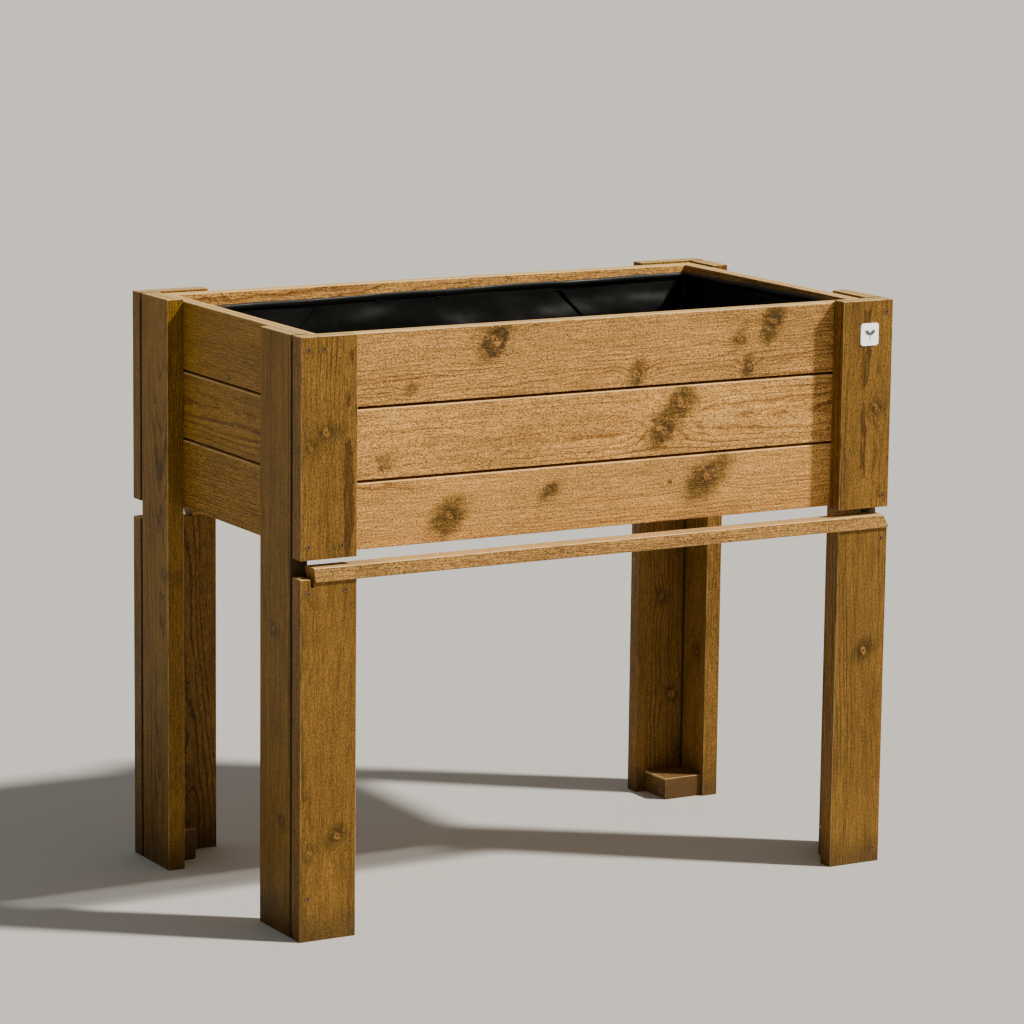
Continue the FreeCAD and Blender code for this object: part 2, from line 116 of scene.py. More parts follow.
class Graph:
    """Short calls that add nodes to a tree and join them; a value may be a socket or a number."""

    def __init__(self, tree):
        self.tree = tree

    def add(self, kind, inputs=(), **settings):
        node = self.tree.nodes.new(kind)
        for name, value in settings.items():
            setattr(node, name, value)
        for key, value in dict(inputs).items():
            self.feed(value, node.inputs[key])
        return node

    def feed(self, value, socket):
        if isinstance(value, bpy.types.NodeSocket):
            self.tree.links.new(value, socket)
        elif socket.type == "RGBA" and len(value) == 3:
            socket.default_value = (*value, 1.0)
        else:
            socket.default_value = value

    def math(self, operation, a, b=0.0, c=0.0):
        return self.add("ShaderNodeMath", {0: a, 1: b, 2: c}, operation=operation).outputs[0]

    def vector(self, operation, a, b=(0.0, 0.0, 0.0)):
        node = self.add("ShaderNodeVectorMath", {0: a, 1: b}, operation=operation)
        return node.outputs["Value" if operation in ("DOT_PRODUCT", "LENGTH") else "Vector"]

    def scaled(self, vector, along, across, shift=(0.0, 0.0, 0.0)):
        """Grain-space vector stretched for a streaky noise, and moved by a seed."""
        stretched = self.vector("MULTIPLY", vector, (along, across, across))
        return self.vector("ADD", stretched, shift)

    def noise(self, vector, scale=1.0, detail=2.0, roughness=0.5):
        inputs = {"Vector": vector, "Scale": scale, "Detail": detail, "Roughness": roughness}
        return self.add("ShaderNodeTexNoise", inputs).outputs[0]

    def smooth(self, value, low, high, start=0.0, end=1.0):
        node = self.add("ShaderNodeMapRange", interpolation_type="SMOOTHSTEP")
        for index, item in enumerate((value, low, high, start, end)):
            self.feed(item, node.inputs[index])
        return node.outputs[0]

    def mix(self, factor, a, b, blend="MIX"):
        node = self.add("ShaderNodeMix", data_type="RGBA", blend_type=blend)
        for key, value in ((0, factor), (6, a), (7, b)):
            self.feed(value, node.inputs[key])
        return node.outputs[2]

    def toned(self, colour, tone):
        """A colour made lighter or darker by a number."""
        return self.mix(1.0, colour, self.combine(tone, tone, tone), "MULTIPLY")

    def squares(self, a, b):
        return self.math("ADD", self.math("MULTIPLY", a, a), self.math("MULTIPLY", b, b))

    def combine(self, x, y, z):
        return self.add("ShaderNodeCombineXYZ", {0: x, 1: y, 2: z}).outputs[0]

    def split(self, vector):
        return self.add("ShaderNodeSeparateXYZ", {0: vector}).outputs


def new_material(name):
    """An empty material; returns it with its graph, its shader and the place on the object."""
    material = bpy.data.materials.new(name)
    material.use_nodes = True
    graph = Graph(material.node_tree)
    shader = graph.tree.nodes["Principled BSDF"]
    return material, graph, shader, graph.add("ShaderNodeTexCoord").outputs["Object"]


def finish_surface(graph, shader, colour, roughness, height, strength, distance):
    """Feed the shader its colour and roughness, and a bump of a height field."""
    bump = graph.add("ShaderNodeBump", {"Height": height})
    bump.inputs["Strength"].default_value = strength
    bump.inputs["Distance"].default_value = distance
    graph.feed(colour, shader.inputs["Base Color"])
    graph.feed(roughness, shader.inputs["Roughness"])
    graph.feed(bump.outputs[0], shader.inputs["Normal"])


def new_group(name, inputs, outputs):
    """A node group with its input and output sockets made; returns graph, inputs, output node."""
    tree = bpy.data.node_groups.new(name, "ShaderNodeTree")
    for in_out, sockets in (("INPUT", inputs), ("OUTPUT", outputs)):
        for label, kind in sockets.items():
            tree.interface.new_socket(label, in_out=in_out, socket_type="NodeSocket" + kind)
    graph = Graph(tree)
    return graph, graph.add("NodeGroupInput").outputs, graph.add("NodeGroupOutput").inputs


KNOT_WARP = 1.9             # noise moves a knot's outline by up to half of this, in its radii
KNOT_WRAPS = 11.0           # radians of fine line for each radius outwards
CLOUD_WIDTH = 0.56          # width of a knot's cloud as a share of its length


def make_knot_group():
    """One knot: dark rim and golden heart, the stained cloud beside it, and its push on the rings."""
    graph, given, result = new_group(
        "knot",
        {"Grain": "Vector", "Centre": "Vector", "Radius": "Float", "Cloud": "Float",
         "Turn": "Float", "Dark": "Float"},
        {"Dark": "Float", "Gold": "Float", "Cloud": "Float", "Push": "Float"})
    grain = given["Grain"]
    radius = given["Radius"]

    # The outline is pulled about by noise, so that no knot is round
    u, v, _ = graph.split(graph.vector("SUBTRACT", grain, given["Centre"]))
    reach = graph.math("MULTIPLY", radius, KNOT_WARP)
    bent_axes = []
    for axis, shift in ((u, (3.1, 0.0, 0.0)), (v, (0.0, 7.7, 0.0))):
        warp = graph.noise(graph.scaled(grain, 75.0, 75.0, shift), detail=3.0, roughness=0.6)
        bent_axes.append(graph.math("MULTIPLY_ADD", graph.math("SUBTRACT", warp, 0.5), reach, axis))
    bent = graph.combine(*bent_axes, 0.0)
    share = graph.math("DIVIDE", graph.vector("LENGTH", bent), radius)

    # Fine wavering lines that wrap round the heart and fade outwards
    lines = graph.math("SINE", graph.math("MULTIPLY", share, KNOT_WRAPS))
    fade = graph.smooth(share, 0.8, 3.2, 1.0, 0.0)
    wraps = graph.math("MULTIPLY", graph.smooth(lines, 0.1, 0.9), fade)
    crack = graph.noise(graph.scaled(grain, 150.0, 230.0), detail=2.0)
    rim = graph.math("MULTIPLY", graph.smooth(share, 0.45, 0.80), graph.smooth(share, 0.95, 1.45, 1.0, 0.0))
    rim = graph.math("MULTIPLY", rim, graph.smooth(crack, 0.34, 0.56))
    pith = graph.smooth(share, 0.12, 0.30, 1.0, 0.0)
    dark = graph.math("MAXIMUM", graph.math("MULTIPLY", rim, 0.85), pith)
    dark = graph.math("MAXIMUM", dark, graph.math("MULTIPLY", wraps, 0.55))

    # The cloud of darker stain leans to one side of the knot
    turned = graph.add("ShaderNodeVectorRotate", {"Vector": bent, "Angle": given["Turn"]},
                       rotation_type="Z_AXIS").outputs[0]
    along, beside, _ = graph.split(turned)
    streak = graph.noise(graph.scaled(grain, 55.0, 260.0), detail=4.0, roughness=0.65)
    patch = graph.noise(graph.scaled(grain, 34.0, 60.0, (5.0, 0.0, 0.0)), detail=2.0)
    long_part = graph.math("DIVIDE", along, given["Cloud"])
    wide_part = graph.math("DIVIDE", beside, graph.math("MULTIPLY", given["Cloud"], CLOUD_WIDTH))
    spread = graph.math("SQRT", graph.squares(long_part, wide_part))
    glow = graph.smooth(spread, 0.10, 1.35, 1.0, 0.0)
    ragged = graph.math("MULTIPLY_ADD", streak, 2.4, 0.05)
    ragged = graph.math("MULTIPLY", ragged, graph.smooth(patch, 0.30, 0.60, 0.55, 1.25))
    cloud = graph.math("MULTIPLY", glow, graph.math("MAXIMUM", ragged, 0.0))

    # The golden heart is a narrow lens between the two wings of the cloud
    lens_along = graph.math("DIVIDE", along, graph.math("MULTIPLY", radius, 0.50))
    lens_beside = graph.math("DIVIDE", beside, graph.math("MULTIPLY", radius, 1.30))
    gold = graph.smooth(graph.squares(lens_along, lens_beside), 0.35, 1.25, 1.0, 0.0)

    # The year rings bend round the knot, further along the grain than across it
    push_u = graph.math("DIVIDE", u, graph.math("MULTIPLY", radius, 3.6))
    push_v = graph.math("DIVIDE", v, graph.math("MULTIPLY", radius, 1.8))
    push = graph.math("EXPONENT", graph.math("MULTIPLY", graph.squares(push_u, push_v), -1.0))
    for key, value in (("Dark", dark), ("Gold", gold), ("Cloud", cloud)):
        graph.feed(graph.math("MULTIPLY", value, given["Dark"]), result[key])
    graph.feed(graph.math("MULTIPLY", push, radius), result["Push"])
    return graph.tree


def make_wood_group():
    """Stained softwood from one log: rings round a pith, fibres, stain, worn edges and tops with painted
    highlight and sheen, a damp foot and painted shade in leg joints.
    """
    graph, given, result = new_group(
        "softwood",
        {"Grain": "Vector", "Push": "Float", "Dark": "Float", "Gold": "Float", "Cloud": "Float",
         "End": "Float", "EdgeWearAndHighlight": "Float", "Up": "Float", "DampAndSeamShade": "Float",
         "Early": "Color", "Late": "Color", "Spacing": "Float", "Pith": "Vector",
         "Fuzz": "Float", "Lines": "Float", "Drift": "Vector", "Seed": "Vector"},
        {"Colour": "Color", "Roughness": "Float", "Height": "Float"})
    seed = given["Seed"]
    grain = given["Grain"]

    # Year rings: distance from the pith, pulled about by slow and quick noise and by the knots
    slow = graph.noise(graph.scaled(grain, 1.6, 7.0, seed), detail=2.0)
    quick = graph.noise(graph.scaled(grain, 11.0, 50.0, seed), detail=3.0)
    wavy = graph.noise(graph.scaled(grain, 42.0, 110.0, seed), detail=2.0)
    warp = graph.math("MULTIPLY", slow, 0.022)
    warp = graph.math("MULTIPLY_ADD", quick, 0.0065, warp)
    warp = graph.math("MULTIPLY_ADD", wavy, 0.0030, warp)
    u, v, w = graph.split(grain)
    _, pith_v, pith_w = graph.split(given["Pith"])
    _, drift_v, drift_w = graph.split(given["Drift"])
    off_v = graph.math("SUBTRACT", graph.math("SUBTRACT", v, pith_v), graph.math("MULTIPLY", u, drift_v))
    off_w = graph.math("SUBTRACT", graph.math("SUBTRACT", w, pith_w), graph.math("MULTIPLY", u, drift_w))
    out = graph.vector("LENGTH", graph.combine(off_v, off_w, 0.0))
    field = graph.math("ADD", graph.math("ADD", out, warp), given["Push"])
    ring = graph.math("DIVIDE", field, given["Spacing"])
    uneven = graph.noise(graph.combine(ring, 0.0, 0.0), scale=0.83, detail=1.0)
    part = graph.math("FRACT", graph.math("MULTIPLY_ADD", uneven, 1.4, ring))
    late = graph.math("MULTIPLY", graph.smooth(part, 0.55, 0.90), graph.smooth(part, 0.90, 1.0, 1.0, 0.0))

    # Fibres and the fuzz of a planed, weathered face, from long and fine to short and coarse
    fibre = graph.noise(graph.scaled(grain, 48.0, 520.0, seed), detail=2.0, roughness=0.6)
    streak = graph.noise(graph.scaled(grain, 8.0, 190.0, seed), detail=3.0, roughness=0.6)
    fuzz = graph.noise(graph.scaled(grain, 330.0, 640.0, seed), detail=1.0, roughness=0.8)
    blotch = graph.noise(graph.scaled(grain, 5.0, 16.0, seed), detail=4.0, roughness=0.65)
    clear = graph.smooth(graph.noise(graph.scaled(grain, 1.5, 18.0, seed), detail=1.0), 0.38, 0.62)

    late_share = graph.math("MULTIPLY", late, graph.math("MULTIPLY_ADD", clear, 0.78, 0.08))
    late_share = graph.math("MULTIPLY", late_share, given["Lines"])
    streak_share = graph.smooth(streak, 0.42, 0.70)
    dark_share = graph.math("MULTIPLY_ADD", streak_share, 0.34, late_share)
    colour = graph.mix(graph.math("MINIMUM", dark_share, 1.0), given["Early"], given["Late"])
    tone = 1.0
    fuzz_amount = graph.math("MULTIPLY", given["Fuzz"], 3.60)
    for noise, amount in ((blotch, 1.00), (fibre, 1.40), (fuzz, fuzz_amount)):
        swing = graph.math("MULTIPLY_ADD", graph.math("SUBTRACT", noise, 0.5), amount, 1.0)
        tone = graph.math("MULTIPLY", graph.math("MAXIMUM", swing, 0.25), tone)
    colour = graph.toned(colour, tone)

    # Knots: the cloud, the golden heart and the dark lines, each over the last
    cloud = graph.math("MINIMUM", given["Cloud"], 0.92)
    colour = graph.mix(cloud, colour, graph.toned(CLOUD_COLOUR, tone))
    gold = graph.math("MINIMUM", graph.math("MULTIPLY", given["Gold"], 0.80), 0.8)
    colour = graph.mix(gold, colour, graph.toned(KNOT_GOLD, tone))
    dark = graph.math("MINIMUM", given["Dark"], 0.9)
    colour = graph.mix(dark, colour, KNOT_COLOUR)

    # Sawn ends are darker; arrises and upper faces are rubbed bare and lightened further as painted highlight
    # and sheen; the foot is damp and leg joints get painted shade
    end_colour = graph.mix(0.42, colour, given["Late"])
    colour = graph.mix(given["End"], colour, end_colour)
    wear = graph.smooth(graph.noise(graph.scaled(grain, 30.0, 90.0, seed), detail=3.0), 0.25, 0.60)
    edge = graph.math("MULTIPLY", given["EdgeWearAndHighlight"], graph.math("MULTIPLY_ADD", wear, 0.55, 0.10))
    up = graph.math("MULTIPLY", given["Up"], graph.math("MULTIPLY_ADD", streak, 0.50, 0.42))
    edge = graph.math("MINIMUM", edge, 0.85)
    colour = graph.mix(graph.math("MAXIMUM", edge, up), colour, BARE_WOOD_AND_HIGHLIGHT)
    colour = graph.mix(graph.math("MULTIPLY", given["DampAndSeamShade"], 0.55), colour, DAMP_AND_SHADE_COLOUR)

    rough = graph.math("MULTIPLY_ADD", streak, 0.25, 0.44)
    height = graph.math("MULTIPLY", fibre, 0.55)
    for noise, amount in ((fuzz, 0.75), (late, 0.35), (streak, 0.50), (given["Dark"], -0.60)):
        height = graph.math("MULTIPLY_ADD", noise, amount, height)
    for key, value in (("Colour", colour), ("Roughness", rough), ("Height", height)):
        graph.feed(value, result[key])
    return graph.tree


AXES = {"x": 0, "y": 1, "z": 2}
MM = 0.001
KNOTTY_LENGTH = 0.15        # a shorter piece has no seeded knots
LEG_EDGE_WEAR_AND_HIGHLIGHT = 0.60        # wear and painted highlight of a leg's arrises, as a share of that of other boards
SEAM_SHADE = 1.6             # how dark the painted shade in the joint of a leg is; 1.0 is as dark as a leg's damp foot
SEAM_OVER_END = 0.5 * MM    # how far the painted shade of the joint laps over the edge of the end board
SEAM_OVER_FACE = 0.8 * MM   # and over the back of the board that covers it


def grain_axes(name, low, high):
    """Names of the axes along the grain, across the wide face and through the board."""
    size = {axis: high[index] - low[index] for axis, index in AXES.items()}
    if name.endswith("block"):
        return "y", "x", "z"
    order = sorted(size, key=size.get, reverse=True)
    return order[0], order[1], order[2]


def board_knots(name, chance, length, width):
    """Fixed knots of the boards that have them, or a few seeded ones."""
    if name in KNOTS:
        return KNOTS[name]
    knots = []
    for _ in range(chance.choice((1, 2, 2, 3)) if length > KNOTTY_LENGTH else 0):
        place_u = chance.uniform(-0.45, 0.45) * length / MM
        place_v = chance.uniform(-0.4, 0.4) * width / MM
        radius = chance.uniform(4, 10)
        cloud = chance.uniform(18, 40)
        turn = chance.uniform(-60, 60)
        knots.append((place_u, place_v, radius, cloud, turn, chance.uniform(0.5, 0.9)))
    return knots


def stain_of(name, slot):
    """Stain of a board; the left end's boards get darker copies of it, painted shade, as the pale floor
    lights their shade more than grass.
    """
    if name.startswith("left_plank"):
        return STAIN["end_plank"]
    if name.endswith("left_end_board"):
        return STAIN["painted_shade_leg"]
    return STAIN[slot]


def leg_seam(graph, place):
    """Shares by which a point of a leg lies in the joint between its boards, and by which painted shade
    darkens it there.
    """
    end_low, end_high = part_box("leg_front_left_end_board")
    face_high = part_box("leg_front_left_upper_board")[1]
    joint_from = abs(end_low.y) - SEAM_OVER_END
    joint_to = abs(face_high.y) + SEAM_OVER_FACE
    end_board_back = abs(end_high.x)
    across, depth, _ = graph.split(graph.vector("ABSOLUTE", place))
    near = graph.smooth(depth, joint_from - MM, joint_from)
    far = graph.smooth(depth, joint_to, joint_to + MM, 1.0, 0.0)
    seam = graph.math("MULTIPLY", near, far)
    outer = graph.smooth(across, end_board_back - 2 * MM, end_board_back + 0.5 * MM, 0.0, SEAM_SHADE)
    return seam, graph.math("MULTIPLY", seam, outer)


def wood_material(name, slot, groups):
    """Wood of one board: its grain runs along it, with its own knots, rings and shade."""
    chance = random.Random(name)
    low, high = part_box(name)
    middle = (low + high) / 2
    along, across, through = grain_axes(name, low, high)
    length = high[AXES[along]] - low[AXES[along]]
    width = high[AXES[across]] - low[AXES[across]]
    stain = stain_of(name, slot)
    fuzziness, lines = SURFACE.get(slot, PLAIN_SURFACE)
    material, graph, shader, place = new_material("wood." + name)
    local = graph.split(graph.vector("SUBTRACT", place, tuple(middle)))
    grain = graph.combine(*(local[AXES[axis]] for axis in (along, across, through)))
    normal = graph.add("ShaderNodeNewGeometry").outputs["True Normal"]
    steep = graph.split(graph.vector("ABSOLUTE", normal))
    flatness = graph.math("MAXIMUM", graph.math("MAXIMUM", steep[0], steep[1]), steep[2])
    end = graph.smooth(steep[AXES[along]], 0.6, 0.8)
    upward = graph.split(normal)[2]
    edge = graph.smooth(flatness, 0.90, 0.997, 1.0, 0.0)
    # Arrises facing up are lightened more and those facing down less: painted highlight over the real wear
    edge = graph.math("MULTIPLY", edge, graph.smooth(upward, -0.2, 0.3, 0.35, 2.0))
    # Upper faces are lightened, partly rubbed-off stain and partly painted sheen; the middle of a top stays
    # darker, so its two arrises show as painted highlights
    up = graph.smooth(upward, 0.6, 0.95, 0.0, RUBBED_TOP_AND_SHEEN[slot])
    core = graph.math("ABSOLUTE", graph.split(grain)[2])
    up = graph.math("MULTIPLY", up, graph.smooth(core, 0.0020, 0.0045, 0.62, 1.0))
    height = graph.split(place)[2]
    soak = graph.math("ADD", height, graph.math("MULTIPLY", graph.noise(place, 45.0, 3.0), -0.05))
    damp_and_seam_shade = graph.smooth(soak, -0.02, 0.035, 1.0, 0.0)
    # The joint between a leg's boards gets painted shade, mixed in with the damp of the foot
    if slot == "leg_wood":
        seam, seam_shade = leg_seam(graph, place)
        edge = graph.math("MULTIPLY", edge, graph.math("SUBTRACT", 1.0, seam))
        edge = graph.math("MULTIPLY", edge, LEG_EDGE_WEAR_AND_HIGHLIGHT)
        damp_and_seam_shade = graph.math("MAXIMUM", damp_and_seam_shade, seam_shade)

    total = {"Dark": 0.0, "Gold": 0.0, "Cloud": 0.0, "Push": 0.0}
    for place_u, place_v, radius, cloud, turn, dark in board_knots(name, chance, length, width):
        knot = graph.add("ShaderNodeGroup", node_tree=groups["knot"])
        values = {
            "Grain": grain, "Centre": (place_u * MM, place_v * MM, 0.0), "Radius": radius * MM,
            "Cloud": cloud * MM, "Turn": -math.radians(turn), "Dark": dark,
        }
        for key, value in values.items():
            graph.feed(value, knot.inputs[key])
        for key in total:
            total[key] = graph.math("ADD", knot.outputs[key], total[key])

    wood = graph.add("ShaderNodeGroup", node_tree=groups["wood"])
    side = chance.choice((-1, 1))
    shade = BOARD_TONE_AND_PAINTED_LIGHT.get(name) or random.Random("shade " + name).uniform(*SHADE_RANGE)
    values = {
        "Grain": grain, "End": end, "EdgeWearAndHighlight": edge, "Up": up, "DampAndSeamShade": damp_and_seam_shade,
        "Early": tuple(part * shade for part in stain["early"]),
        "Late": tuple(part * shade for part in stain["late"]),
        "Fuzz": fuzziness, "Lines": lines,
        "Spacing": chance.uniform(0.0036, 0.0056),
        "Pith": (0.0, chance.uniform(-0.9, 0.9) * width, side * chance.uniform(0.040, 0.090)),
        "Drift": (0.0, chance.uniform(-0.02, 0.02), chance.uniform(-0.03, 0.03)),
        "Seed": tuple(chance.uniform(-40, 40) for _ in range(3)), **total,
    }
    for key, value in values.items():
        graph.feed(value, wood.inputs[key])
    outputs = wood.outputs
    finish_surface(graph, shader, outputs["Colour"], outputs["Roughness"], outputs["Height"], 0.70, 0.0012)
    shader.inputs["Specular IOR Level"].default_value = 0.16
    return material


def metal_material(name, colour, roughness, rust):
    """Plated or coated steel, stained in patches."""
    material, graph, shader, place = new_material(name)
    grime = graph.noise(place, 900.0, 3.0)
    stained = graph.mix(graph.smooth(grime, 0.40, 0.68, 0.0, rust), colour, RUST_COLOUR)
    uneven = graph.math("MULTIPLY_ADD", grime, 0.35, roughness)
    finish_surface(graph, shader, stained, uneven, graph.noise(place, 2600.0, 2.0), 0.35, 0.0002)
    shader.inputs["Metallic"].default_value = 0.9
    return material


def plastic_material(name, colour, dirt, roughness, glow=0.0):
    """Hard plastic or enamel with fine specks of dirt; glow is painted light, an emission of the surface's
    own that lifts a white towards a sunlit white. Hard plastic or enamel with fine specks of dirt; glow
    lifts a white towards the photo's.
    """
    material, graph, shader, place = new_material(name)
    specks = graph.smooth(graph.noise(place, 700.0, 4.0, 0.7), 0.50, 0.75, 0.0, 0.5)
    uneven = graph.math("MULTIPLY_ADD", graph.noise(place, 90.0, 2.0), 0.2, roughness)
    speckled = graph.mix(specks, colour, dirt)
    finish_surface(graph, shader, speckled, uneven, graph.noise(place, 260.0, 2.0), 0.12, 0.0004)
    # Painted light: the surface emits its own colour by glow, though it is no lamp
    shader.inputs["Emission Color"].default_value = (*colour, 1.0)
    shader.inputs["Emission Strength"].default_value = glow
    return material


def dress_nodes():
    """Give every CAD node its material."""
    groups = {"knot": make_knot_group(), "wood": make_wood_group()}
    plain = {
        "zinc_steel": metal_material("screw_zinc", (0.26, 0.15, 0.07), 0.24, 0.55),
        "staple_wire": metal_material("staple_wire", (0.035, 0.035, 0.036), 0.40, 0.10),
        # The label's white plate is given painted glow
        "label_white": plastic_material("label_white", (0.98, 0.98, 0.98), (0.72, 0.72, 0.71), 0.22, 0.8),
        "label_grey": plastic_material("label_grey", (0.105, 0.115, 0.11), (0.18, 0.18, 0.17), 0.45),
        "liner_sheet": plastic_material("liner_core", (0.012, 0.012, 0.013), (0.03, 0.03, 0.03), 0.45),
    }
    for part in frame["record"]["subparts"]:
        name, slot = part["node"], part["material_slot"]
        material = plain.get(slot) or wood_material(name, slot, groups)
        mesh = NODES[name].data
        mesh.materials.clear()
        mesh.materials.append(material)


# ---------------------------------------------------------------- studio
CAMERA_PLACE = Vector((-2.8585, -5.0208, 1.5488))
CAMERA_TURN = (29.675, -10.338, 0.670)     # yaw, pitch and roll in degrees
CAMERA_LENS = 148.15
FLOOR_SIZE = 160.0
KEY_DIRECTION = Vector((0.566, -0.429, 0.704))
KEY_SPREAD = 4.5            # degrees
KEY_POWER = 5.4
KEY_COLOUR = (1.0, 0.94, 0.84)
SKY_COLOUR = (1.00, 0.97, 0.90)
SKY_STRENGTH = 0.24
FLOOR_DARK = (0.60, 0.60, 0.585)
FLOOR_PALE = (0.66, 0.655, 0.64)


def link_object(name, data):
    """A new object in the scene."""
    made = bpy.data.objects.new(name, data)
    bpy.context.scene.collection.objects.link(made)
    return made


def make_camera():
    """The camera at the photo's viewing angle."""
    yaw, pitch, roll = (math.radians(angle) for angle in CAMERA_TURN)
    forward = Vector((math.sin(yaw) * math.cos(pitch), math.cos(yaw) * math.cos(pitch), math.sin(pitch)))
    level = Vector((math.cos(yaw), -math.sin(yaw), 0.0))
    upright = level.cross(forward)
    right = math.cos(roll) * level + math.sin(roll) * upright
    up = math.cos(roll) * upright - math.sin(roll) * level
    data = bpy.data.cameras.new("camera")
    data.lens = CAMERA_LENS
    data.sensor_width = 36.0
    data.clip_start = 0.1
    data.clip_end = 100.0
    camera = link_object("camera", data)
    turn = Matrix((right, up, -forward)).transposed().to_4x4()
    camera.matrix_world = Matrix.Translation(CAMERA_PLACE) @ turn
    bpy.context.scene.camera = camera


def make_light(name, direction, spread, power, colour):
    """A distant light from a direction, softened by the angle that it spreads over."""
    data = bpy.data.lights.new(name, "SUN")
    data.angle = math.radians(spread)
    data.energy = power
    data.color = colour
    light = link_object(name, data)
    light.location = direction.normalized() * 5.0
    light.rotation_mode = "QUATERNION"
    light.rotation_quaternion = direction.to_track_quat("Z", "Y")


def make_studio():
    """A plain pale floor, an even pale sky and one soft key light."""
    bpy.ops.mesh.primitive_plane_add(size=FLOOR_SIZE, location=(0.0, 0.0, 0.0))
    floor = bpy.context.object
    floor.name = "studio_floor"
    material, graph, shader, place = new_material("studio_floor")
    tone = graph.mix(graph.noise(place, 3.0, 4.0), FLOOR_DARK, FLOOR_PALE)
    graph.feed(tone, shader.inputs["Base Color"])
    shader.inputs["Roughness"].default_value = 0.85
    floor.data.materials.append(material)

    world = bpy.data.worlds.new("studio")
    world.use_nodes = True
    back = world.node_tree.nodes["Background"]
    back.inputs["Color"].default_value = (*SKY_COLOUR, 1.0)
    back.inputs["Strength"].default_value = SKY_STRENGTH
    bpy.context.scene.world = world
    make_light("key", KEY_DIRECTION, KEY_SPREAD, KEY_POWER, KEY_COLOUR)


# ---------------------------------------------------------------- liner
LINER_GAUGE = 0.0010        # thickness of the plastic sheet
LINER_CELL = 0.0095         # spacing of the simulated sheet
LINER_SLACK = 0.011         # spare height of the sheet above the part that lies flat
FLOOR_SLACK = 0.010         # spare share of the sheet's floor
FLAT_BELOW = 0.45           # share of the wall's height where the sheet lies flat
HELD_BELOW = 0.6            # share of that flat part that is held in place
FLOOR_ROUND = 0.020         # the sheet bridges the edges of the floor
CORNER_ROUND = 0.011        # and the upright corners
SETTLE_STEPS = 24
RIM_STEPS = 48              # points on each side of the rim
HEM_HEIGHT = 0.009
HEM_THICKNESS = 0.0027
HEM_OVER_FOLD = 0.7         # how much thicker the hem is over a folded corner
HEM_FOLD_RAMP = 0.02        # length over which it gets thicker
HEM_ABOVE = 0.0004          # how far it stands above the sheet's edge
FOLD_LIFT = 0.0016          # how far a folded corner lies off the sheet behind it
FOLD_TAPER = 0.22           # how much closer to it the free edge lies
FOLD_REACH = 0.97           # reach of a folded corner along the long wall, as a share of its height
FOLD_FOOT = 0.10            # a folded corner starts at this share of the wall's height
FOLD_HEAD = 0.98            # and ends at this one
FOLD_GRID = (14, 26)        # cells across and up
FOLD_START = 0.005          # how far from the corner a folded corner starts
FOLD_GAUGE = 1.2 * LINER_GAUGE      # thickness of a folded corner
ROLL_DEPTH = 0.0046         # depth of the long rolls that the spare height makes
ROLL_TURNS = 13.0           # radians of roll over the part that doesn't lie flat
EDGE_RIPPLE = 0.0005        # height of the ripple along the top edge
# How far the sheet's top edge lies below the CAD liner's at each corner
TOP_EDGE_DROPS = {(-1, -1): 0.003, (1, -1): -0.006, (1, 1): -0.0015, (-1, 1): 0.007}
ON_WALL = 1e-6              # a point this close to a wall is on it
THREAD_PITCH = 0.0026       # spacing of the sheet's weave
FLOOR_HELD = 0.10           # share of the floor's points that the slats hold
SHEET_CLOTH = {
    "quality": 5, "mass": 0.12, "tension_stiffness": 20.0, "compression_stiffness": 20.0,
    "shear_stiffness": 8.0, "bending_stiffness": 1.2, "tension_damping": 12.0,
    "compression_damping": 12.0, "bending_damping": 2.0, "air_damping": 6.0,
}

LINER_LOW, LINER_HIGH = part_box("liner")
HALF_X, HALF_Y, LINER_TOP = LINER_HIGH
LINER_FLOOR = LINER_LOW[2]
WALL_HEIGHT = LINER_TOP - LINER_FLOOR
COLUMNS = round(2 * HALF_X / LINER_CELL)
ROWS = round(2 * HALF_Y / LINER_CELL)
LEVELS = round(WALL_HEIGHT / LINER_CELL)


def top_edge(x, y):
    """Height of the liner's top edge over a point: it was stapled by eye, a little off level."""
    share_x = (x / HALF_X + 1) / 2
    share_y = (y / HALF_Y + 1) / 2
    front = TOP_EDGE_DROPS[-1, -1] * (1 - share_x) + TOP_EDGE_DROPS[1, -1] * share_x
    back = TOP_EDGE_DROPS[-1, 1] * (1 - share_x) + TOP_EDGE_DROPS[1, 1] * share_x
    ripple = EDGE_RIPPLE * math.sin(31 * x + 47 * y)
    return LINER_TOP - (front * (1 - share_y) + back * share_y) + ripple


def rise_of(x, y, z):
    """Height of a point as a share of the wall there."""
    return (z - LINER_FLOOR) / (top_edge(x, y) - LINER_FLOOR)


def new_object(name, vertices, faces):
    """A smooth-shaded mesh object."""
    mesh = bpy.data.meshes.new(name)
    mesh.from_pydata(vertices, [], faces)
    mesh.validate()
    mesh.polygons.foreach_set("use_smooth", [True] * len(mesh.polygons))
    return link_object(name, mesh)


